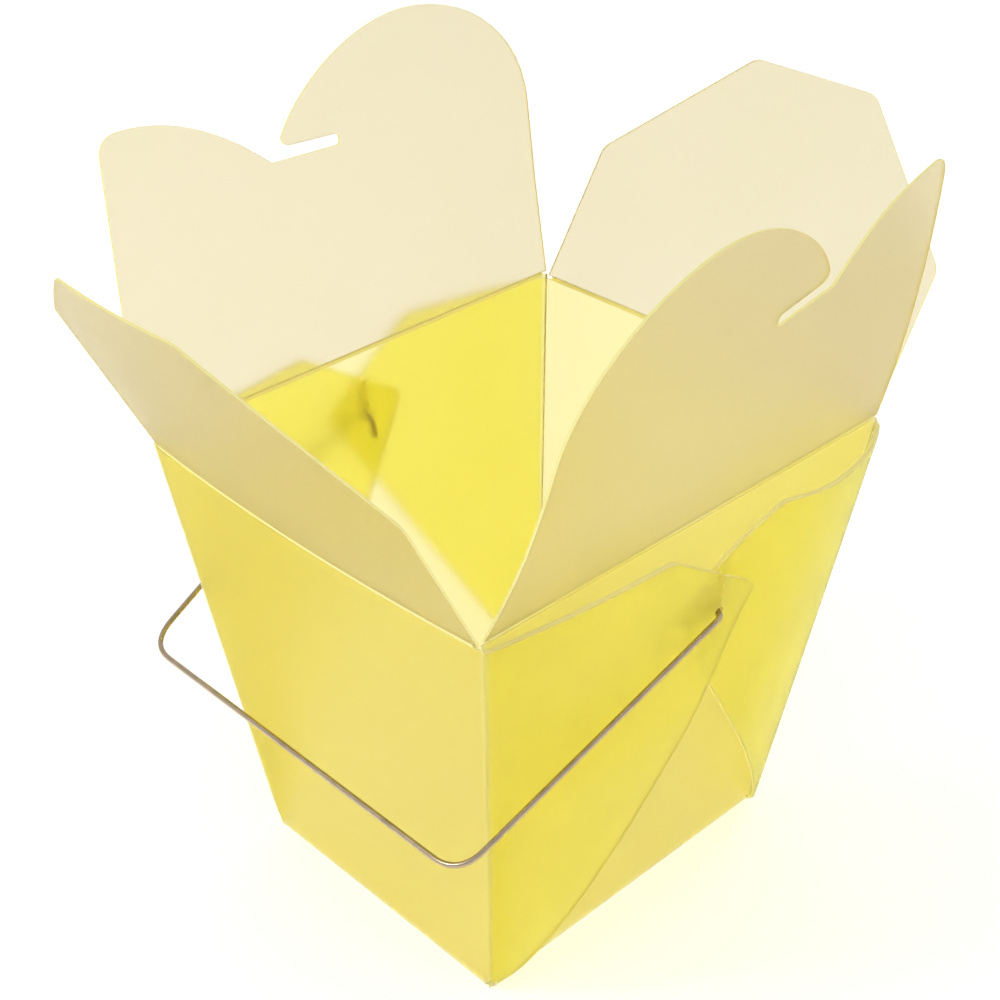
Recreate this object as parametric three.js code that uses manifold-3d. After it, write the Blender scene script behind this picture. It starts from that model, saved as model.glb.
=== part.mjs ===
import * as THREE from "three";
import { mergeVertices } from "three/addons/utils/BufferGeometryUtils.js";
import Module from "manifold-3d";

const wasm = await Module();
wasm.setup();

// Sizes in millimetres. The box stands on z = 0 with its front to -Y and its handle walls at +X and -X.
const sheet = 0.5;
const boxHeight = 100;
const rimHalfX = 46.5;
const rimHalfY = 54.6;
const baseHalfX = 33.8;
const baseHalfY = 41;
// The handle walls stand a little taller, so that their flaps shut on top of the other two.
const handleWallRise = 1.2;
const rimStepIn = 0.6;
// The plain walls and their flaps are bowed out along the fold.
const frontBow = 2;
const backBow = 0.8;
const wallStepsAcross = 10;
const wallStepsUp = 6;

// Corner folds: the spare sheet at each corner, doubled and laid over the outside of a handle wall.
const foldAngle = 37.6 * Math.PI / 180;
const foldAir = 0.3;
const foldSeat = 0.2;
const foldKneeAcross = 39.5;
const foldKneeUp = 99.5;
const foldTipUp = 80.3;
const foldTipAcross = foldTipUp * Math.tan(foldAngle);
const foldTipRound = 2;
const foldStepsAcross = 14;
const foldStepsUp = 12;
const foldSlitStart = 2.5;
const foldSlitLip = 1.1;
const foldThick = 2 * sheet + foldAir;
const foldCurveSteps = 3;
// On the right wall the front fold lies outermost, and both folds stand well off the wall.
const frontStandoff = 10.5;
const frontEaseLow = 14;
const frontEaseHigh = 42;
const easeFrom = 55;
const easeTo = 80;
const backStandoff = 10.5;
const backEase = 14;
const backDip = 0.5;
const backDipFrom = 25;
const backDipTo = 52;
// On the left wall the back fold lies outermost, and both folds are pressed flat.
const leftInnerStandoff = 2.6;
const leftOuterStandoff = 4.2;
const leftEase = 14;

// Flaps, measured up from the fold line; a tilt is the lean outward from upright.
const hingeGap = 0.3;
const hingeLift = 0.4;
const degree = Math.PI / 180;
const frontTilt = 29.3 * degree;
const backTilt = 32 * degree;
const rightTilt = 23 * degree;
const leftTilt = 8.5 * degree;
// The right flap winds a little along its fold, curls back in towards its top and hollows across its width.
const rightTwist = -0.00188;
const rightCurl = 0.0022;
const rightHollow = 0.000016;
const flapStepsAcross = 14;
const flapStepsUp = 8;
const flapCurveSteps = 8;
const plainRootHalf = 45.7;
const plainSideHalf = 45.2;
const plainTopHalf = 15.6;
const plainRound = 1.5;
// The front flap hollows across its width, and its left side is cut a little longer than its right.
const frontHollow = 0.000024;
const frontSideSkew = 3.3;
const frontSideTop = 36.8;
const frontTop = 65.4;
const backSideTop = 32;
const backTop = 60.5;
// The two hook flaps are copies by half a turn, the right one a little longer with a lower shoulder.
const rightStretch = 1.015;
const leftStretch = 0.982;
const hookRootHalf = 54;
const lobeHalf = 53.3;
const lobeSideLow = 22;
const lobeSideTop = 41;
const lobeSideEase = 16;
const lobeTop = 68.4;
const lobeTopAt = -21;
const lobeTopEaseOut = 17;
const lobeTopEaseIn = 15;
const hookTipAcross = 13.7;
const hookTipUp = 50.2;
const hookTipEaseAcross = 5.2;
const hookTipEaseUp = 8.3;
const hookTipRound = 2;
const hookUnder = 48.2;
const slotEndAcross = -0.4;
const slotLow = 45.1;
const slotHigh = 47.5;
const slotRound = 1;
const notchAcross = 16.7;
const notchUp = 45.7;
const notchEaseAcross = 10.3;
const notchEaseUp = 9.3;
const shoulderHalf = 54.2;
const leftShoulderTop = 60.7;
const rightShoulderTop = 55.5;
const leftShoulderFlare = 2.1;
const flareUp = 22;
const shoulderRound = 5;
const shoulderEase = 12;

// Wire handle: ends turned in through a hole in the folds, hanging in front of the box.
const wireRadius = 0.57;
const holeRadius = 1.1;
const holeSlit = 0.5;
const slitTop = 94;
const holeSides = 16;
const holeOffWall = 1.3;
const pivotUp = 84;
const legLength = 4;
const legLean = 0.5;
const rightLegAcross = 46.8;
const rightArmAcross = 54;
const rightBarEnd = 46.8;
const leftLegAcross = 45.6;
const leftArmAcross = 52.4;
const leftBarEnd = 47.2;
const barOut = 60.9;
const barUp = 53.9;
const barBend = 7.3;
const endBend = 2;
const wireSteps = 150;
const wireSides = 8;

// Blocks that are trimmed or cut away reach past the faces they meet.
const cutReach = 200;
const trimMargin = 6;

function toSolid(geometry) {
  geometry.deleteAttribute("normal");
  geometry.deleteAttribute("uv");
  const merged = mergeVertices(geometry, 1e-4);
  return new wasm.Manifold(new wasm.Mesh({
    numProp: 3,
    vertProperties: new Float32Array(merged.attributes.position.array),
    triVerts: new Uint32Array(merged.index.array),
  }));
}

function toGeometry(solid) {
  const mesh = solid.getMesh();
  const geometry = new THREE.BufferGeometry();
  geometry.setAttribute("position", new THREE.BufferAttribute(mesh.vertProperties.slice(), 3));
  geometry.setIndex(new THREE.BufferAttribute(mesh.triVerts.slice(), 1));
  geometry.computeVertexNormals();
  return geometry;
}

// Moves every vertex of a geometry to the place that a function gives for it.
function reshape(geometry, place) {
  const position = geometry.attributes.position;
  const point = new THREE.Vector3();
  for (let i = 0; i < position.count; i += 1) {
    point.fromBufferAttribute(position, i);
    place(point);
    position.setXYZ(i, point.x, point.y, point.z);
  }
  return geometry;
}

function turnFacesRound(geometry) {
  const index = geometry.index.array;
  for (let i = 0; i < index.length; i += 3) {
    const first = index[i];
    index[i] = index[i + 1];
    index[i + 1] = first;
  }
  return geometry;
}

function boxBetween(low, high) {
  const size = new THREE.Vector3().subVectors(high, low);
  const middle = new THREE.Vector3().addVectors(low, high).multiplyScalar(0.5);
  return new THREE.BoxGeometry(size.x, size.y, size.z).translate(middle.x, middle.y, middle.z);
}

// An outline of straight edges whose corners are rounded by curves.
function roundedShape(corners, radius) {
  const shape = new THREE.Shape();
  corners.forEach((corner, i) => {
    const before = corners[(i + corners.length - 1) % corners.length];
    const after = corners[(i + 1) % corners.length];
    const start = before.clone().sub(corner).setLength(radius).add(corner);
    const end = after.clone().sub(corner).setLength(radius).add(corner);
    if (i === 0) {
      shape.moveTo(start.x, start.y);
    } else {
      shape.lineTo(start.x, start.y);
    }
    shape.quadraticCurveTo(corner.x, corner.y, end.x, end.y);
  });
  shape.closePath();
  return shape;
}

function prismAcross(shape, curveSegments) {
  const settings = { depth: 2 * cutReach, bevelEnabled: false, curveSegments };
  return new THREE.ExtrudeGeometry(shape, settings).translate(0, 0, -cutReach);
}

// A tapered block with the outline of the box, drawn in by a margin on every side.
function tub(margin, low, high) {
  const block = new THREE.BoxGeometry(2, 2, high - low, wallStepsAcross, 2, wallStepsUp);
  block.translate(0, 0, (low + high) / 2);
  return reshape(block, (p) => {
    const up = p.z / boxHeight;
    const halfX = THREE.MathUtils.lerp(baseHalfX, rimHalfX, up) - margin;
    const halfY = THREE.MathUtils.lerp(baseHalfY, rimHalfY, up) - margin;
    const bow = (p.y < 0 ? frontBow : backBow) * (1 - p.x * p.x) * up * up;
    p.x *= halfX;
    p.y *= halfY + bow;
  });
}

// How far the doubled sheet stands off the wall, at a distance up and across from the box's bottom corner.
function frontFoldStandoff(across, up) {
  const rise = THREE.MathUtils.smoothstep(up, easeFrom, easeTo);
  const ease = THREE.MathUtils.lerp(frontEaseLow, frontEaseHigh, rise);
  return frontStandoff * (1 - Math.exp(-across / ease));
}

function backFoldStandoff(across) {
  const dip = 1 - backDip * THREE.MathUtils.smoothstep(across, backDipFrom, backDipTo);
  return backStandoff * (1 - Math.exp(-across / backEase)) * dip;
}

function flatFoldStandoff(height) {
  return (across) => height * (1 - Math.exp(-across / leftEase));
}

// The frame of a corner: x across the handle wall, y up the corner edge, z out of the wall.
function cornerFrame() {
  const foot = new THREE.Vector3(baseHalfX, -baseHalfY, 0);
  const edge = new THREE.Vector3(rimHalfX, -rimHalfY, boxHeight).sub(foot).normalize();
  const out = new THREE.Vector3(boxHeight, 0, baseHalfX - rimHalfX).normalize();
  const across = new THREE.Vector3().crossVectors(edge, out).normalize();
  return new THREE.Matrix4().makeBasis(across, edge, out).setPosition(foot);
}

function foldSlab(standoff, thickness, outline) {
  const width = foldTipAcross + foldThick;
  const height = boxHeight + trimMargin;
  const slab = new THREE.BoxGeometry(width, height, thickness, foldStepsAcross, foldStepsUp, 1);
  slab.translate(width / 2, height / 2, 0);
  reshape(slab, (p) => {
    p.z += foldSeat + standoff(p.x, p.y);
  });
  return toSolid(slab).intersect(toSolid(prismAcross(outline, foldCurveSteps)));
}

// One corner fold: two layers of sheet with a sliver of air between them, joined along the slanting ridge.
function cornerFold(standoff) {
  const edgeLength = Math.hypot(boxHeight, rimHalfX - baseHalfX, rimHalfY - baseHalfY);
  const ridge = Math.tan(foldAngle);
  const outline = new THREE.Shape();
  const knee = new THREE.Vector2(foldKneeAcross, foldKneeUp);
  const tip = new THREE.Vector2(foldTipAcross, foldTipUp);
  const tipIn = knee.clone().sub(tip).setLength(foldTipRound).add(tip);
  const tipOut = tip.clone().setLength(tip.length() - foldTipRound);
  outline.moveTo(0, 0);
  outline.lineTo(tipOut.x, tipOut.y);
  outline.quadraticCurveTo(tip.x, tip.y, tipIn.x, tipIn.y);
  outline.lineTo(knee.x, knee.y);
  outline.lineTo(0, edgeLength);
  outline.closePath();
  const gap = new THREE.Shape();
  gap.moveTo(foldSlitStart, foldSlitStart / ridge + foldSlitLip);
  gap.lineTo(foldTipUp, foldTipUp / ridge + foldSlitLip);
  gap.lineTo(foldTipUp, 2 * boxHeight);
  gap.lineTo(foldSlitStart, 2 * boxHeight);
  gap.closePath();
  const folded = foldSlab(standoff, foldThick, outline).subtract(foldSlab(standoff, foldAir, gap));
  return toGeometry(folded).applyMatrix4(cornerFrame());
}

function mirrored(geometry, signX, signY) {
  const copy = geometry.clone().scale(signX, signY, 1);
  return signX * signY < 0 ? turnFacesRound(copy) : copy;
}

function makePail() {
  const rim = boxHeight + handleWallRise;
  let pail = toSolid(tub(0, 0, rim)).subtract(toSolid(tub(sheet, sheet, rim + trimMargin)));
  const plainHalf = rimHalfX - rimStepIn;
  for (const side of [-1, 1]) {
    const low = new THREE.Vector3(-plainHalf, side > 0 ? 0 : -cutReach, boxHeight);
    const high = new THREE.Vector3(plainHalf, side > 0 ? cutReach : 0, rim + trimMargin);
    pail = pail.subtract(toSolid(boxBetween(low, high)));
  }
  const folds = [
    [frontFoldStandoff, 1, 1],
    [backFoldStandoff, 1, -1],
    [flatFoldStandoff(leftInnerStandoff), -1, 1],
    [flatFoldStandoff(leftOuterStandoff), -1, -1],
  ];
  for (const [standoff, signX, signY] of folds) {
    pail = pail.add(toSolid(mirrored(cornerFold(standoff), signX, signY)));
  }
  const wallAtPivot = THREE.MathUtils.lerp(baseHalfX, rimHalfX, pivotUp / boxHeight);
  const holeFrom = wallAtPivot + holeOffWall;
  const holeDepth = 2 * frontStandoff;
  for (const side of [-1, 1]) {
    const hole = new THREE.CylinderGeometry(holeRadius, holeRadius, holeDepth, holeSides);
    hole.rotateZ(Math.PI / 2);
    hole.translate(side * (holeFrom + holeDepth / 2), 0, pivotUp);
    pail = pail.subtract(toSolid(hole));
    const slit = new THREE.BoxGeometry(holeDepth, holeSlit, slitTop - pivotUp);
    slit.translate(side * (holeFrom + holeDepth / 2), 0, (slitTop + pivotUp) / 2);
    pail = pail.subtract(toSolid(slit));
  }
  return toGeometry(pail.trimByPlane([0, 0, 1], 0));
}

// A flap: a thin bent sheet trimmed to its outline, in a frame with x along the fold, y up and z outward.
function makeFlap(outline, stretch, bend) {
  const width = 2 * (rimHalfY + trimMargin);
  const height = lobeTop + trimMargin;
  const slab = new THREE.BoxGeometry(width, height, sheet, flapStepsAcross, flapStepsUp, 1);
  slab.translate(0, hingeGap + height / 2, 0);
  reshape(slab, bend);
  const trim = prismAcross(outline, flapCurveSteps).scale(1, stretch, 1);
  return toGeometry(toSolid(slab).intersect(toSolid(trim)));
}

function plainOutline(sideTop, top, skew) {
  const right = [[plainRootHalf, -top], [plainSideHalf, sideTop - skew], [plainTopHalf, top]];
  const left = [[-plainTopHalf, top], [-plainSideHalf, sideTop + skew], [-plainRootHalf, -top]];
  const corners = [...right, ...left].map(([x, y]) => new THREE.Vector2(x, y));
  return roundedShape(corners, plainRound);
}

function hookOutline(shoulderTop, flare) {
  const shape = new THREE.Shape();
  const below = -lobeTop;
  const slotMiddle = (slotLow + slotHigh) / 2;
  const fallFrom = shoulderHalf - shoulderRound;
  shape.moveTo(shoulderHalf, below);
  shape.lineTo(shoulderHalf, hingeGap);
  shape.lineTo(shoulderHalf + flare, flareUp);
  shape.lineTo(shoulderHalf, shoulderTop - shoulderRound);
  shape.quadraticCurveTo(shoulderHalf, shoulderTop, fallFrom, shoulderTop);
  shape.bezierCurveTo(
    fallFrom - shoulderEase, shoulderTop,
    notchAcross + notchEaseAcross, notchUp + notchEaseUp,
    notchAcross, notchUp,
  );
  shape.lineTo(slotEndAcross + slotRound, slotLow);
  shape.quadraticCurveTo(slotEndAcross, slotLow, slotEndAcross, slotMiddle);
  shape.quadraticCurveTo(slotEndAcross, slotHigh, slotEndAcross + slotRound, slotHigh);
  shape.lineTo(hookTipAcross - hookTipRound, hookUnder);
  shape.quadraticCurveTo(hookTipAcross, hookUnder, hookTipAcross, hookTipUp);
  shape.bezierCurveTo(
    hookTipAcross - hookTipEaseAcross, hookTipUp + hookTipEaseUp,
    lobeTopAt + lobeTopEaseIn, lobeTop,
    lobeTopAt, lobeTop,
  );
  shape.bezierCurveTo(
    lobeTopAt - lobeTopEaseOut, lobeTop,
    -lobeHalf, lobeSideTop + lobeSideEase,
    -lobeHalf, lobeSideTop,
  );
  shape.lineTo(-lobeHalf, lobeSideLow);
  shape.lineTo(-hookRootHalf, hingeGap);
  shape.lineTo(-hookRootHalf, below);
  shape.closePath();
  return shape;
}

// A flap bowed out along its fold, whose bow is level while the flap leans, and hollowed towards its sides.
function bowed(bow, tilt, hollow) {
  return (p) => {
    const out = bow * Math.max(0, 1 - (p.x / rimHalfX) ** 2);
    p.z += out * Math.cos(tilt) - hollow * p.x * p.x * Math.max(0, p.y);
    p.y += out * Math.sin(tilt);
  };
}

function wound(twist, curl, hollow) {
  return (p) => {
    p.z += (twist * p.x - curl * p.y - hollow * p.x * p.x) * p.y;
  };
}

function roundedPath(points, radii) {
  const path = new THREE.CurvePath();
  let from = points[0];
  for (let i = 1; i < points.length - 1; i += 1) {
    const toBefore = points[i - 1].clone().sub(points[i]).normalize();
    const toAfter = points[i + 1].clone().sub(points[i]).normalize();
    const setBack = radii[i - 1] / Math.tan(toBefore.angleTo(toAfter) / 2);
    const start = toBefore.multiplyScalar(setBack).add(points[i]);
    const end = toAfter.multiplyScalar(setBack).add(points[i]);
    path.add(new THREE.LineCurve3(from, start));
    path.add(new THREE.QuadraticBezierCurve3(start, points[i], end));
    from = end;
  }
  path.add(new THREE.LineCurve3(from, points[points.length - 1]));
  return path;
}

function handleEnd(side, leg, arm, barEnd) {
  return [
    new THREE.Vector3(side * (leg - legLean), 0, pivotUp - legLength),
    new THREE.Vector3(side * leg, 0, pivotUp),
    new THREE.Vector3(side * arm, 0, pivotUp),
    new THREE.Vector3(side * barEnd, -barOut, barUp),
  ];
}

function makeHandle() {
  const right = handleEnd(1, rightLegAcross, rightArmAcross, rightBarEnd);
  const left = handleEnd(-1, leftLegAcross, leftArmAcross, leftBarEnd);
  const bends = [endBend, endBend, barBend, barBend, endBend, endBend];
  const extrudePath = roundedPath([...right, ...left.reverse()], bends);
  const section = new THREE.Shape();
  section.absarc(0, 0, wireRadius, 0, 2 * Math.PI);
  const settings = { steps: wireSteps, extrudePath, curveSegments: wireSides / 2 };
  return toGeometry(toSolid(new THREE.ExtrudeGeometry(section, settings)));
}

const yellowSheet = new THREE.MeshStandardMaterial({ color: 0xf0de78, roughness: 0.5, metalness: 0 });
const paleSheet = new THREE.MeshStandardMaterial({ color: 0xeae2bf, roughness: 0.5, metalness: 0 });
const steelWire = new THREE.MeshStandardMaterial({ color: 0x8f877a, roughness: 0.35, metalness: 1 });

function named(name, geometry, material) {
  const mesh = new THREE.Mesh(geometry, material);
  mesh.name = name;
  return mesh;
}

const takeawayBox = new THREE.Group();
takeawayBox.add(named("pail", makePail(), yellowSheet));
takeawayBox.add(named("handle", makeHandle(), steelWire));

// Each flap stands in a group turned to its wall, on a hinge line at the rim.
function addFlap(name, turn, reach, rim, tilt, geometry) {
  const wall = new THREE.Group();
  wall.rotation.z = turn * degree;
  const hinge = new THREE.Group();
  hinge.position.set(0, sheet / 2 - reach, rim + hingeLift);
  hinge.rotation.x = Math.PI / 2 + tilt;
  hinge.add(named(name, geometry, paleSheet));
  wall.add(hinge);
  takeawayBox.add(wall);
}

const handleRim = boxHeight + handleWallRise;
const frontOutline = plainOutline(frontSideTop, frontTop, frontSideSkew);
const frontFlap = makeFlap(frontOutline, 1, bowed(frontBow, frontTilt, frontHollow));
const backFlap = makeFlap(plainOutline(backSideTop, backTop, 0), 1, bowed(backBow, backTilt, 0));
const rightBend = wound(rightTwist, rightCurl, rightHollow);
const rightFlap = makeFlap(hookOutline(rightShoulderTop, 0), rightStretch, rightBend);
const leftFlap = makeFlap(hookOutline(leftShoulderTop, leftShoulderFlare), leftStretch, wound(0, 0, 0));
addFlap("front_flap", 0, rimHalfY, boxHeight, frontTilt, frontFlap);
addFlap("right_flap", 90, rimHalfX, handleRim, rightTilt, rightFlap);
addFlap("back_flap", 180, rimHalfY, boxHeight, backTilt, backFlap);
addFlap("left_flap", 270, rimHalfX, handleRim, leftTilt, leftFlap);

export default takeawayBox;
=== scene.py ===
import math

import bmesh
import bpy
from mathutils import Matrix, Vector, geometry


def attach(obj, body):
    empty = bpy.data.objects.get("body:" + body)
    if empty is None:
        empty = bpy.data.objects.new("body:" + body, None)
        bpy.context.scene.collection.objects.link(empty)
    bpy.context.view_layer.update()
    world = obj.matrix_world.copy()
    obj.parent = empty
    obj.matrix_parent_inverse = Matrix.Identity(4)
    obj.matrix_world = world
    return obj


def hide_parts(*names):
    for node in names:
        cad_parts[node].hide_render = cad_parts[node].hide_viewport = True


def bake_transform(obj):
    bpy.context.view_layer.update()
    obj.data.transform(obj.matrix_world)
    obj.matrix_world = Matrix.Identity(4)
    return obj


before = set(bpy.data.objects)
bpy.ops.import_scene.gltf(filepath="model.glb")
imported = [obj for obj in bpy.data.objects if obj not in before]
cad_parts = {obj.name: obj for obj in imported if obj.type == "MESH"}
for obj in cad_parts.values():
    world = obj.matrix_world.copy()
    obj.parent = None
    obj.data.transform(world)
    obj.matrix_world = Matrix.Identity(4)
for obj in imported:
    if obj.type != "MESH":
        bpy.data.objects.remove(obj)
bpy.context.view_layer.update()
mm = 0.001
print("frame loaded:", ", ".join(sorted(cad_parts)))


def linear(hexCode):
    channels = [int(hexCode[i:i + 2], 16) / 255 for i in (1, 3, 5)]
    return [c / 12.92 if c <= 0.04045 else ((c + 0.055) / 1.055) ** 2.4 for c in channels] + [1.0]


def addNode(tree, kind, settings=None, sockets=None):
    node = tree.nodes.new(kind)
    for key, value in (settings or {}).items():
        setattr(node, key, value)
    for key, value in (sockets or {}).items():
        if isinstance(value, bpy.types.NodeSocket):
            tree.links.new(value, node.inputs[key])
        else:
            node.inputs[key].default_value = value
    return node


def newMaterial(name):
    material = bpy.data.materials.new(name)
    material.use_nodes = True
    material.node_tree.nodes.clear()
    return material, material.node_tree


noiseLow, noiseHigh = 0.3, 0.7  # where most of a noise's values lie


def perMillimetre(size):
    return 1 / (size * mm)  # noise scale for a grain of that many millimetres


# Polypropylene sheet, extruded with a frosted finish: milky, soft see-through, layers deepen the yellow. The
# three tints of the one sheet are painted light and shade: the corner folds are painted lighter and the flaps
# painted darker than the walls
frosted = dict(whitened="#fefdf0", grain=0.8, cloud=22, ior=1.17, smooth=0.7, rough=0.8, through=0.97,
               bump=0.1, grainDepth=0.03)  # real grain is near 0.2 mm, drawn coarser to show
# painted light: the layered corner folds get a lighter, brighter yellow than the walls
foldSheetPaintedLight = dict(frosted, name="frostedPolypropyleneFoldsPaintedLight", pale="#fffdcb", deep="#fefcc3")
plainSheet = dict(frosted, name="frostedPolypropyleneWalls", pale="#f6f0bd", deep="#f5eeb4")
# painted shade: the flaps get a darker, greyer cream than the walls
flapSheetPaintedShade = dict(frosted, name="frostedPolypropyleneFlapsPaintedShade", pale="#ede5cb", deep="#ebe3c4")


def addNoise(tree, size, detail):
    spot = addNode(tree, "ShaderNodeTexCoord").outputs["Object"]
    sockets = {"Vector": spot, "Scale": perMillimetre(size), "Detail": detail}
    return addNode(tree, "ShaderNodeTexNoise", None, sockets).outputs["Fac"]


def addTint(tree, factor, first, second):
    tint = addNode(tree, "ShaderNodeMix", {"data_type": "RGBA"}, {"Factor": factor})
    tint.inputs["A"].default_value = linear(first)
    tint.inputs["B"].default_value = linear(second)
    return tint


def addRoughness(tree, noise, smooth, rough):
    sockets = {"Value": noise, "From Min": noiseLow, "From Max": noiseHigh, "To Min": smooth, "To Max": rough}
    return addNode(tree, "ShaderNodeMapRange", None, sockets).outputs["Result"]


def addBump(tree, noise, strength, depth):
    sockets = {"Height": noise, "Strength": strength, "Distance": depth * mm}
    return addNode(tree, "ShaderNodeBump", None, sockets).outputs["Normal"]


def addSurface(tree, sockets):
    shader = addNode(tree, "ShaderNodeBsdfPrincipled", None, sockets)
    addNode(tree, "ShaderNodeOutputMaterial", None, {"Surface": shader.outputs["BSDF"]})


def makeFrosted(f):
    material, tree = newMaterial(f["name"])
    grain = addNoise(tree, f["grain"], 2.0)
    sheet = addTint(tree, addNoise(tree, f["cloud"], 3.0), f["pale"], f["deep"])
    bent = addNode(tree, "ShaderNodeAttribute", {"attribute_name": "foldLine"})
    colour = addTint(tree, bent.outputs["Fac"], f["pale"], f["whitened"])  # bent sheet whitens
    tree.links.new(sheet.outputs["Result"], colour.inputs["A"])
    addSurface(tree, {
        "Base Color": colour.outputs["Result"], "IOR": f["ior"], "Transmission Weight": f["through"],
        "Roughness": addRoughness(tree, grain, f["smooth"], f["rough"]),
        "Normal": addBump(tree, grain, f["bump"], f["grainDepth"])})
    return material


# Cut edge or sharp fold of the same sheet: matt, no longer clear. Its deeper yellow is painted light,
# standing in for the light the sheet gathers and sends out at its edges and folds
sheetEdgePaintedLight = dict(pale="#faf2ac", deep="#f7ec96", grain=0.8, rough=0.6, bump=0.3, grainDepth=0.04)


def makeSheetEdge():
    e = sheetEdgePaintedLight
    material, tree = newMaterial("polypropyleneCutEdgePaintedLight")
    grain = addNoise(tree, e["grain"], 2.0)
    addSurface(tree, {
        "Base Color": addTint(tree, grain, e["pale"], e["deep"]).outputs["Result"], "Roughness": e["rough"],
        "Normal": addBump(tree, grain, e["bump"], e["grainDepth"])})
    return material


# Drawn steel wire with a dull zinc coat: grey-brown with streaks along its length
drawnWire = dict(bright="#d3c2a6", dull="#a08e76", streak=1.2, spot=4, smooth=0.14, rough=0.26,
                 bump=0.2, streakDepth=0.02)


def makeDrawnWire():
    w = drawnWire
    material, tree = newMaterial("drawnSteelWire")
    streak = addNoise(tree, w["streak"], 4.0)
    colour = addTint(tree, addNoise(tree, w["spot"], 2.0), w["bright"], w["dull"])
    addSurface(tree, {
        "Base Color": colour.outputs["Result"], "Metallic": 1.0,
        "Roughness": addRoughness(tree, streak, w["smooth"], w["rough"]),
        "Normal": addBump(tree, streak, w["bump"], w["streakDepth"])})
    return material


foldPaintedLightMaterial, wallMaterial, flapPaintedShadeMaterial = (makeFrosted(f) for f in (foldSheetPaintedLight, plainSheet, flapSheetPaintedShade))
edgePaintedLightMaterial, wireMaterial = makeSheetEdge(), makeDrawnWire()
print("materials ready")


def newPiece(name, bm, materials):
    mesh = bpy.data.meshes.new(name)
    bm.to_mesh(mesh)
    bm.free()
    for material in materials:
        mesh.materials.append(material)
    mesh.shade_smooth()
    piece = bpy.data.objects.new(name, mesh)
    bpy.context.scene.collection.objects.link(piece)
    return piece


def finishSheet(piece, thick, rounding=0):
    if rounding:
        soft = piece.modifiers.new("softFolds", "SUBSURF")
        soft.levels = soft.render_levels = rounding
    solid = piece.modifiers.new("sheetThickness", "SOLIDIFY")
    solid.thickness, solid.offset = thick * mm, 0
    solid.use_even_offset = solid.use_quality_normals = True
    solid.material_offset_rim = len(piece.data.materials) - 1  # cut edges get the edge material, whose deeper yellow is painted light gathered along the sheet
    bpy.context.view_layer.update()
    plain = piece.data
    piece.data = bpy.data.meshes.new_from_object(piece.evaluated_get(bpy.context.evaluated_depsgraph_get()))
    piece.modifiers.clear()
    bpy.data.meshes.remove(plain)
    piece.data.name = piece.name
    piece.data.set_sharp_from_angle(angle=math.radians(40))  # cut edges stay crisp


def addPanel(bm, columns, rows, place, slot=0):
    bent = bm.verts.layers.float.get("foldLine") or bm.verts.layers.float.new("foldLine")
    made = bmesh.ops.create_grid(bm, x_segments=columns, y_segments=rows, size=0.5)["verts"]
    spots = {v: (v.co.x + 0.5, v.co.y + 0.5) for v in made}
    for v, (u, w) in spots.items():
        v.co = place(u, w)
        v[bent] = 1 if min(u, 1 - u, w) < 0.001 else 0  # all but the top side is a fold
    for f in {f for v in made for f in v.link_faces}:
        f.material_index = slot
    return spots


def panelSide(bm, spots, test):
    return [e for e in bm.edges if all(v in spots and test(*spots[v]) for v in e.verts)]


def snug(u, count, edge):
    k = round(u * count)  # first and last columns stand close to the edge, which keeps the fold tight
    if k in (0, count):
        return k / count
    return edge + (k - 1) / (count - 2) * (1 - 2 * edge)


def mix(a, b, t):
    return a + (b - a) * t


def smooth(a, b, t):
    t = min(max((t - a) / (b - a), 0), 1)
    return t * t * (3 - 2 * t)


# The folded sheet of the box: base, walls and corner folds in one piece
pail = dict(thick=0.5, height=100, rimX=46.5, rimY=54.6, baseX=33.8, baseY=41, rise=1.2,
            frontBow=2, backBow=0.8, columns=22, rows=30, fold=0.009)
corner = dict(angle=37.6, kneeAcross=39.5, kneeUp=99.5, tipUp=80.3, tipRound=2, columns=20, kneeColumn=11,
              inner=0.42, outer=1.0, gather=0.06,
              frontOff=10.3, frontEaseLow=14, frontEaseHigh=42, easeFrom=55, easeTo=80,
              backOff=10.3, backEase=14, backDip=0.5, dipFrom=25, dipTo=52,
              leftInner=2.5, leftOuter=4.05, leftEase=14)
hole = dict(up=84, radius=1.1, facets=10, reach=6, offWall=1.2, slit=0.15)
half = pail["thick"] / 2


def wallHalf(t):
    return mix(pail["baseX"], pail["rimX"], t) - half, mix(pail["baseY"], pail["rimY"], t) - half


def cornerFrame():
    low, high = (Vector((x, -y, z)) for (x, y), z in ((wallHalf(0), half), (wallHalf(1), pail["height"])))
    out = Vector((pail["height"], 0, pail["baseX"] - pail["rimX"])).normalized()
    edge = (high - low).normalized()
    return low, edge, out, edge.cross(out).normalized(), (high - low).length


cornerFoot, cornerEdge, cornerOut, cornerAcross, cornerLength = cornerFrame()


def frontOff(across, up):
    rise = smooth(corner["easeFrom"], corner["easeTo"], up)
    ease = mix(corner["frontEaseLow"], corner["frontEaseHigh"], rise)
    return corner["frontOff"] * (1 - math.exp(-across / ease))


def backOff(across, up):
    dip = 1 - corner["backDip"] * smooth(corner["dipFrom"], corner["dipTo"], across)
    return corner["backOff"] * (1 - math.exp(-across / corner["backEase"])) * dip


def standOff(sideX, sideY):
    if sideX > 0:
        return frontOff if sideY < 0 else backOff
    high = corner["leftInner"] if sideY < 0 else corner["leftOuter"]  # pressed flat, the back one outermost
    return lambda across, up: high * (1 - math.exp(-across / corner["leftEase"]))


def foldTop(u):
    tip = Vector((corner["tipUp"] * math.tan(math.radians(corner["angle"])), corner["tipUp"]))
    knee = Vector((corner["kneeAcross"], corner["kneeUp"]))
    begin = tip + (knee - tip).normalized() * corner["tipRound"]
    end = tip * (1 - corner["tipRound"] / tip.length)
    k, last, kneeAt = round(u * corner["columns"]), corner["columns"], corner["kneeColumn"]
    if k <= kneeAt:
        return Vector((0, cornerLength)).lerp(knee, snug(k / kneeAt, kneeAt, 0.02))
    if k == last:
        return end
    if k == last - 1:
        return (begin + end) / 4 + tip / 2
    return knee.lerp(begin, (k - kneeAt) / (last - 2 - kneeAt))


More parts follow.
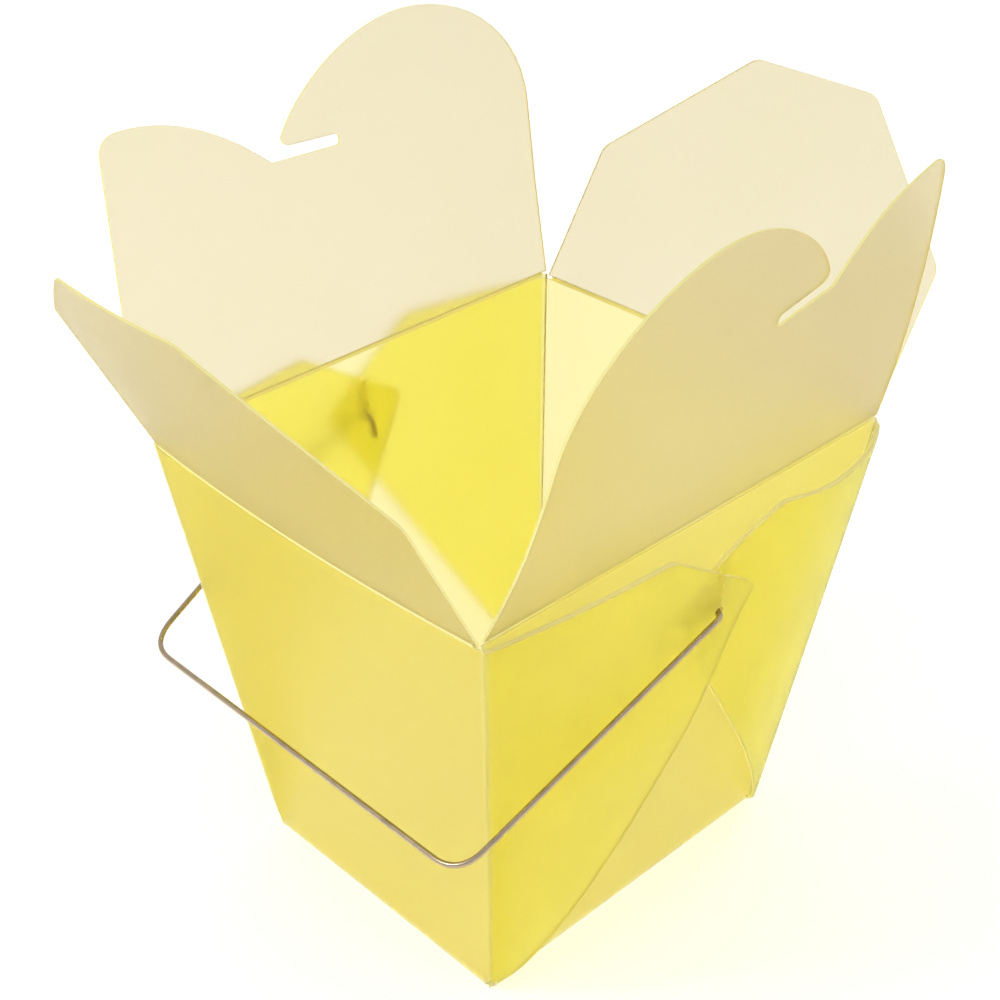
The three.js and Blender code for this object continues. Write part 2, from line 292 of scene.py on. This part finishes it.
def layer(sideX, sideY, depth):
    stand = standOff(sideX, sideY)

    def place(u, w):
        across, up = foldTop(u) * snug(w, pail["rows"], pail["fold"])
        gather = smooth(0, corner["gather"], up / cornerLength)
        p = cornerFoot + cornerAcross * across + cornerEdge * up
        p += cornerOut * (depth * gather + stand(across, up))
        return Vector((p.x * sideX, p.y * -sideY, p.z)) * mm
    return place


def plainWall(sideY):
    bow = pail["frontBow"] if sideY < 0 else pail["backBow"]

    def place(u, w):
        t, across = snug(w, pail["rows"], pail["fold"]), 2 * snug(u, pail["columns"], pail["fold"]) - 1
        x, y = wallHalf(t)
        step = corner["outer"] * smooth(0, corner["gather"], t)
        z = mix(half, pail["height"], t)
        x += step * cornerOut.x
        y += bow * (1 - across * across) * t * t
        z += step * cornerOut.z * across * across
        return Vector((across * x, sideY * y, z)) * mm
    return place


def handleWall(sideX):
    def place(u, w):
        t, across = snug(w, pail["rows"], pail["fold"]), 2 * snug(u, pail["columns"], pail["fold"]) - 1
        t *= 1 + pail["rise"] / pail["height"]
        x, y = wallHalf(t)
        return Vector((sideX * x, across * y, mix(half, pail["height"], t))) * mm
    return place


def basePanel(u, w):
    x, y = wallHalf(0)
    right, back = (2 * snug(k, pail["columns"], pail["fold"]) - 1 for k in (u, w))
    return Vector((x * right, y * back, half)) * mm


def cutHole(bm, sideX):
    centre = Vector((0, 0, hole["up"])) * mm

    def offWall(f):
        p = f.calc_center_median() / mm
        return p.x * sideX - wallHalf(p.z / pail["height"])[0] > hole["offWall"]

    def near(f, reach):
        p = f.calc_center_median() - centre
        return math.hypot(p.y, p.z) < reach * mm and offWall(f)

    def slitNear(f):
        p = f.calc_center_median() - centre
        return p.z > 0 and abs(p.y) < hole["reach"] * mm and offWall(f)
    for i in range(hole["facets"]):
        turn = 2 * math.pi * i / hole["facets"]
        way = Vector((0, math.cos(turn), math.sin(turn)))
        faces = [f for f in bm.faces if near(f, hole["reach"])]
        geom = list({g for f in faces for g in (f, *f.edges, *f.verts)})
        rim = centre + way * hole["radius"] * mm
        bmesh.ops.bisect_plane(bm, geom=geom, dist=1e-7, plane_co=rim, plane_no=way)
    for y in (-hole["slit"], hole["slit"]):
        faces = [f for f in bm.faces if slitNear(f)]
        geom = list({g for f in faces for g in (f, *f.edges, *f.verts)})
        bmesh.ops.bisect_plane(bm, geom=geom, dist=1e-7, plane_co=(0, y * mm, 0), plane_no=(0, 1, 0))

    def inSlit(f):
        return slitNear(f) and abs(f.calc_center_median().y) < hole["slit"] * mm
    gone = [f for f in bm.faces if near(f, hole["radius"]) or inSlit(f)]
    bmesh.ops.delete(bm, geom=gone, context="FACES")


def makePail():
    bm = bmesh.new()
    walls = {side: addPanel(bm, pail["columns"], pail["rows"], handleWall(side), 1) for side in (-1, 1)}
    for side in (-1, 1):
        addPanel(bm, pail["columns"], pail["rows"], plainWall(side), 1)
    addPanel(bm, pail["columns"], pail["columns"], basePanel, 1)
    for sideX in (-1, 1):
        for sideY in (-1, 1):
            inner = addPanel(bm, corner["columns"], pail["rows"], layer(sideX, sideY, corner["inner"]))
            outer = addPanel(bm, corner["columns"], pail["rows"], layer(sideX, sideY, corner["outer"]))
            ridge = [e for side in (inner, outer) for e in panelSide(bm, side, lambda u, w: u > 0.999)]
            folds = bmesh.ops.bridge_loops(bm, edges=ridge)["faces"]
            atCorner = 0 if sideY < 0 else 1
            seam = panelSide(bm, inner, lambda u, w: u < 0.001)
            seam += panelSide(bm, walls[sideX], lambda u, w: abs(u - atCorner) < 0.001)
            folds += bmesh.ops.bridge_loops(bm, edges=seam)["faces"]
            for f in folds:
                f.material_index = 2  # edge material: matt, with a deeper yellow that is painted light gathered in the fold
    bmesh.ops.remove_doubles(bm, verts=bm.verts, dist=0.08 * mm)
    for side in (-1, 1):
        cutHole(bm, side)
    bmesh.ops.recalc_face_normals(bm, faces=bm.faces)
    return bm


pailPiece = newPiece("pailSheet", makePail(), [foldPaintedLightMaterial, wallMaterial, edgePaintedLightMaterial])
finishSheet(pailPiece, pail["thick"], 1)
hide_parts("pail")
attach(pailPiece, "pail")
print("pail folded")


# Flaps: cut to their outline, cut across into a grid and bent
hinge = dict(gap=0.3, lift=0.4)
plainFlap = dict(root=45.7, side=45.2, top=15.6, round=1.5, roundSteps=4, grid=4)
hookFlap = dict(root=54, lobe=53.3, lobeLow=22, lobeHigh=41, lobeEase=16,
                top=68.4, topAt=-21, topOut=17, topIn=15, tip=(13.7, 50.2), tipEase=(5.2, 8.3), tipRound=2,
                under=48.2, slotEnd=-0.4, slotLow=45.1, slotHigh=47.5, slotRound=1,
                notch=(16.7, 45.7), notchEase=(10.3, 9.3), shoulder=54.2, shoulderRound=5, shoulderEase=12,
                flareUp=22, steps=14, grid=4)
frontFlap = dict(tilt=29.3, sideTop=36.8, top=65.4, skew=3.3, hollow=0.000024)
backFlap = dict(tilt=32, sideTop=32, top=60.5)
rightFlap = dict(tilt=23, shoulderTop=55.5, stretch=1.015, twist=-0.00188, curl=0.0022, hollow=0.000016)
leftFlap = dict(tilt=8.5, shoulderTop=60.7, stretch=0.982, flare=2.1)


def plainOutline(sideTop, top, skew=0):
    p = plainFlap
    bm = bmesh.new()
    corners = [(-p["root"], hinge["gap"]), (p["root"], hinge["gap"]), (p["side"], sideTop - skew),
               (p["top"], top), (-p["top"], top), (-p["side"], sideTop + skew)]
    verts = [bm.verts.new((x, y, 0)) for x, y in corners]
    bm.faces.new(verts)
    bmesh.ops.bevel(bm, geom=verts[2:], offset=p["round"], segments=p["roundSteps"], profile=0.5,
                    affect="VERTICES", material=-1)
    return bm


def hookOutline(shoulderTop, stretch, flare=0):
    h = hookFlap
    fall, slotMiddle = h["shoulder"] - h["shoulderRound"], (h["slotLow"] + h["slotHigh"]) / 2
    tipUp, notchUp = h["tip"][1], h["notch"][1]
    points = [Vector((h["shoulder"], hinge["gap"] / stretch))]

    def line(x, y):
        points.append(Vector((x, y)))

    def curve(c1, c2, end):
        steps = geometry.interpolate_bezier(points[-1], Vector(c1), Vector(c2), Vector(end), h["steps"])
        points.extend(Vector(s[:2]) for s in steps[1:])

    def bend(c, end):
        start, c, end = points[-1], Vector(c), Vector(end)
        curve(start.lerp(c, 2 / 3), end.lerp(c, 2 / 3), end)
    line(h["shoulder"] + flare, h["flareUp"])
    line(h["shoulder"], shoulderTop - h["shoulderRound"])
    bend((h["shoulder"], shoulderTop), (fall, shoulderTop))
    curve((fall - h["shoulderEase"], shoulderTop),
          (h["notch"][0] + h["notchEase"][0], notchUp + h["notchEase"][1]), h["notch"])
    line(h["slotEnd"] + h["slotRound"], h["slotLow"])
    bend((h["slotEnd"], h["slotLow"]), (h["slotEnd"], slotMiddle))
    bend((h["slotEnd"], h["slotHigh"]), (h["slotEnd"] + h["slotRound"], h["slotHigh"]))
    line(h["tip"][0] - h["tipRound"], h["under"])
    bend((h["tip"][0], h["under"]), h["tip"])
    curve((h["tip"][0] - h["tipEase"][0], tipUp + h["tipEase"][1]),
          (h["topAt"] + h["topIn"], h["top"]), (h["topAt"], h["top"]))
    curve((h["topAt"] - h["topOut"], h["top"]),
          (-h["lobe"], h["lobeHigh"] + h["lobeEase"]), (-h["lobe"], h["lobeHigh"]))
    line(-h["lobe"], h["lobeLow"])
    line(-h["root"], hinge["gap"] / stretch)
    bm = bmesh.new()
    bm.faces.new([bm.verts.new((p.x, p.y * stretch, 0)) for p in points])
    return bm


def gridCuts(bm, pitch):
    lows = [min(v.co[i] for v in bm.verts) for i in (0, 1)]
    highs = [max(v.co[i] for v in bm.verts) for i in (0, 1)]
    for i in (0, 1):
        way = Vector((1 - i, i, 0))
        cuts = round((highs[i] - lows[i]) / pitch)
        for k in range(1, cuts):
            spot = way * mix(lows[i], highs[i], k / cuts)
            geom = bm.verts[:] + bm.edges[:] + bm.faces[:]
            bmesh.ops.bisect_plane(bm, geom=geom, dist=1e-4, plane_co=spot, plane_no=way)


def bowed(bow, tilt, hollow=0):
    def move(p):
        out = bow * max(0, 1 - (p.x / pail["rimX"]) ** 2)
        dip = hollow * p.x * p.x * p.y
        return Vector((p.x, p.y + out * math.sin(tilt), p.z + out * math.cos(tilt) - dip))
    return move


def wound(twist, curl, hollow):
    return lambda p: Vector((p.x, p.y, p.z + (twist * p.x - curl * p.y - hollow * p.x * p.x) * p.y))


def flapPlace(turn, reach, rim, tilt):
    lift = Matrix.Translation((0, half - reach, rim + hinge["lift"]))
    stand = lift @ Matrix.Rotation(math.pi / 2 + tilt, 4, "X")
    return Matrix.Scale(mm, 4) @ Matrix.Rotation(math.radians(turn), 4, "Z") @ stand


def addFlap(name, body, bm, pitch, move, place):
    gridCuts(bm, pitch)
    for v in bm.verts:
        v.co = move(v.co)
    bmesh.ops.transform(bm, matrix=place, verts=bm.verts)
    bmesh.ops.recalc_face_normals(bm, faces=bm.faces)
    piece = newPiece(name, bm, [flapPaintedShadeMaterial, edgePaintedLightMaterial])
    finishSheet(piece, pail["thick"])
    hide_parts(body)
    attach(piece, body)
    return piece


# Creases: the sheet runs on from wall to flap, pressed thin along the fold
crease = dict(thick=0.44, columns=40, rows=6, into=0.12, inset=0.6)


def addCrease(name, halfWidth, wallTop, move, place):
    bm = bmesh.new()

    def onStrip(u, w):
        x = (halfWidth - crease["inset"]) * (2 * u - 1)
        low = wallTop(x)
        high = place @ move(Vector((x, hinge["gap"] + crease["into"], 0)))
        return low.lerp(high, w)
    addPanel(bm, crease["columns"], crease["rows"], onStrip)
    bmesh.ops.recalc_face_normals(bm, faces=bm.faces)
    low, high = onStrip(0.5, 0), onStrip(0.5, 1)
    # the crease strip takes the edge material: its deeper yellow line is painted light
    piece = newPiece(name, bm, [edgePaintedLightMaterial])
    finishSheet(piece, crease["thick"])
    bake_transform(piece)
    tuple(low)
    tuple(high)
    return piece


def plainRim(sideY):
    bow = pail["frontBow"] if sideY < 0 else pail["backBow"]

    def top(x):
        _, y = wallHalf(1)
        out = bow * max(0, 1 - (x / pail["rimX"]) ** 2)
        return Vector((x * -sideY, sideY * (y + out), pail["height"] - crease["into"])) * mm
    return top


def handleRim(sideX):
    def top(x):
        wide, _ = wallHalf(1)
        return Vector((sideX * wide, x * sideX, pail["height"] + pail["rise"] - crease["into"])) * mm
    return top


frontTilt, backTilt, rightTilt, leftTilt = (
    math.radians(flap["tilt"]) for flap in (frontFlap, backFlap, rightFlap, leftFlap))
handleTop = pail["height"] + pail["rise"]
frontBend = bowed(pail["frontBow"], frontTilt, frontFlap["hollow"])
backBend = bowed(pail["backBow"], backTilt)
rightBend = wound(rightFlap["twist"], rightFlap["curl"], rightFlap["hollow"])
leftBend = wound(0, 0, 0)
frontPlace = flapPlace(0, pail["rimY"], pail["height"], frontTilt)
rightPlace = flapPlace(90, pail["rimX"], handleTop, rightTilt)
backPlace = flapPlace(180, pail["rimY"], pail["height"], backTilt)
leftPlace = flapPlace(270, pail["rimX"], handleTop, leftTilt)
frontSheet = plainOutline(frontFlap["sideTop"], frontFlap["top"], frontFlap["skew"])
backSheet = plainOutline(backFlap["sideTop"], backFlap["top"])
rightSheet = hookOutline(rightFlap["shoulderTop"], rightFlap["stretch"])
leftSheet = hookOutline(leftFlap["shoulderTop"], leftFlap["stretch"], leftFlap["flare"])
addFlap("frontFlapSheet", "front_flap", frontSheet, plainFlap["grid"], frontBend, frontPlace)
addFlap("backFlapSheet", "back_flap", backSheet, plainFlap["grid"], backBend, backPlace)
addFlap("rightFlapSheet", "right_flap", rightSheet, hookFlap["grid"], rightBend, rightPlace)
addFlap("leftFlapSheet", "left_flap", leftSheet, hookFlap["grid"], leftBend, leftPlace)
addCrease("frontCrease", plainFlap["side"], plainRim(-1), frontBend, frontPlace)
addCrease("backCrease", plainFlap["side"], plainRim(1), backBend, backPlace)
addCrease("rightCrease", hookFlap["lobe"], handleRim(1), rightBend, rightPlace)
addCrease("leftCrease", hookFlap["lobe"], handleRim(-1), leftBend, leftPlace)
print("flaps and creases cut")


# Wire handle: one length of wire, bent at the corners and turned in at the ends
wire = dict(radius=0.57, pivotUp=84, legLength=4, legLean=0.5, barOut=60.9, barUp=53.9, barBend=7.3,
            endBend=2, steps=12, round=6,
            right=(46.8, 54, 46.8), left=(45.6, 52.4, 47.2))  # each side: leg, arm, end of bar


def wirePath():
    w = wire

    def end(side, leg, arm, bar):
        return [Vector((side * (leg - w["legLean"]), 0, w["pivotUp"] - w["legLength"])),
                Vector((side * leg, 0, w["pivotUp"])), Vector((side * arm, 0, w["pivotUp"])),
                Vector((side * bar, -w["barOut"], w["barUp"]))]
    points = end(1, *w["right"]) + end(-1, *w["left"])[::-1]
    bends = [w["endBend"], w["endBend"], w["barBend"]]
    path = [(points[0], None)]
    for before, at, after, radius in zip(points, points[1:], points[2:], bends + bends[::-1]):
        back, on = (before - at).normalized(), (after - at).normalized()
        setBack = radius / math.tan(back.angle(on) / 2)
        path.append((at + back * setBack, at))
        path.append((at + on * setBack, at))
    return path + [(points[-1], None)]


def makeHandle():
    curve = bpy.data.curves.new("wireHandle", "CURVE")
    curve.dimensions = "3D"
    curve.bevel_depth = wire["radius"] * mm
    curve.bevel_resolution = wire["round"]
    curve.resolution_u = wire["steps"]
    curve.use_fill_caps = True
    path = wirePath()
    spline = curve.splines.new("BEZIER")
    spline.bezier_points.add(len(path) - 1)
    for i, (point, (at, bend)) in enumerate(zip(spline.bezier_points, path)):
        along = [path[max(i - 1, 0)][0], path[min(i + 1, len(path) - 1)][0]]
        lefts = [at.lerp(along[0], 1 / 3), at.lerp(along[1], 1 / 3)]
        if bend is not None:
            lefts[0 if i % 2 == 0 else 1] = at.lerp(bend, 2 / 3)
        point.handle_left_type = point.handle_right_type = "FREE"
        point.co, point.handle_left, point.handle_right = at * mm, lefts[0] * mm, lefts[1] * mm
    piece = bpy.data.objects.new("wireCurve", curve)
    bpy.context.scene.collection.objects.link(piece)
    mesh = bpy.data.meshes.new_from_object(piece.evaluated_get(bpy.context.evaluated_depsgraph_get()))
    bpy.data.objects.remove(piece)
    bm = bmesh.new()
    bm.from_mesh(mesh)
    bmesh.ops.remove_doubles(bm, verts=bm.verts, dist=0.01 * mm)
    bmesh.ops.recalc_face_normals(bm, faces=bm.faces)
    return newPiece("handleWire", bm, [wireMaterial])


handlePiece = makeHandle()
handlePiece.data.set_sharp_from_angle(angle=math.radians(50))
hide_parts("handle")
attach(handlePiece, "handle")
print("handle bent")


# Studio: pale floor, white surround, large soft lights
studio = dict(floor=20, floorColour="#fbfbfa", fibre=3, fibreBump=0.05, fibreDepth=0.05, floorRough=0.9,
              floorShine=0.1, floorGlow=0.35, surround="#ffffff", surroundPower=0.68,
              key=dict(at=(-0.5, -0.9, 1.1), size=0.3, power=4),
              fill=dict(at=(1.0, 0.5, 0.9), size=1.2, power=1.5))


def makeStudio():
    s = studio
    bm = bmesh.new()
    bmesh.ops.create_grid(bm, x_segments=8, y_segments=8, size=s["floor"])
    material, tree = newMaterial("studioFloorPaper")
    fibre = addNoise(tree, s["fibre"], 2.0)
    addSurface(tree, {
        "Base Color": linear(s["floorColour"]), "Roughness": s["floorRough"],
        "Specular IOR Level": s["floorShine"],
        "Normal": addBump(tree, fibre, s["fibreBump"], s["fibreDepth"]),
        "Emission Color": linear(s["surround"]), "Emission Strength": s["floorGlow"]})
    mesh = bpy.data.meshes.new("floor")
    bm.to_mesh(mesh)
    bm.free()
    mesh.materials.append(material)
    floor = bpy.data.objects.new("floor", mesh)
    bpy.context.scene.collection.objects.link(floor)
    world = bpy.data.worlds.new("softRoom")
    world.use_nodes = True
    sky = world.node_tree.nodes["Background"]
    sky.inputs["Color"].default_value = linear(s["surround"])
    sky.inputs["Strength"].default_value = s["surroundPower"]
    bpy.context.scene.world = world
    for name in ("key", "fill"):
        light = bpy.data.lights.new(name + "Softbox", "AREA")
        light.size, light.energy = s[name]["size"], s[name]["power"]
        lamp = bpy.data.objects.new(name + "Softbox", light)
        lamp.location = s[name]["at"]
        lamp.rotation_euler = (-Vector(s[name]["at"])).to_track_quat("-Z", "Y").to_euler()
        bpy.context.scene.collection.objects.link(lamp)


makeStudio()
lens = dict(at=(218.8, -216.8, 280.7), aim=(-30.01, 23.59, 60.0), focal=64.8, sensor=36)


def makeCamera():
    data = bpy.data.cameras.new("photoCamera")
    data.lens, data.sensor_width = lens["focal"], lens["sensor"]
    camera = bpy.data.objects.new("photoCamera", data)
    camera.location = Vector(lens["at"]) * mm
    camera.rotation_euler = (Vector(lens["aim"]) - Vector(lens["at"])).to_track_quat("-Z", "Y").to_euler()
    data.clip_start = 0.01
    bpy.context.scene.collection.objects.link(camera)
    bpy.context.scene.camera = camera


makeCamera()
view = bpy.context.scene.view_settings
view.view_transform, view.look = "Standard", "None"
cycles = bpy.context.scene.cycles
cycles.max_bounces = cycles.transmission_bounces = 20
cycles.glossy_bounces = 8
print("studio lit")
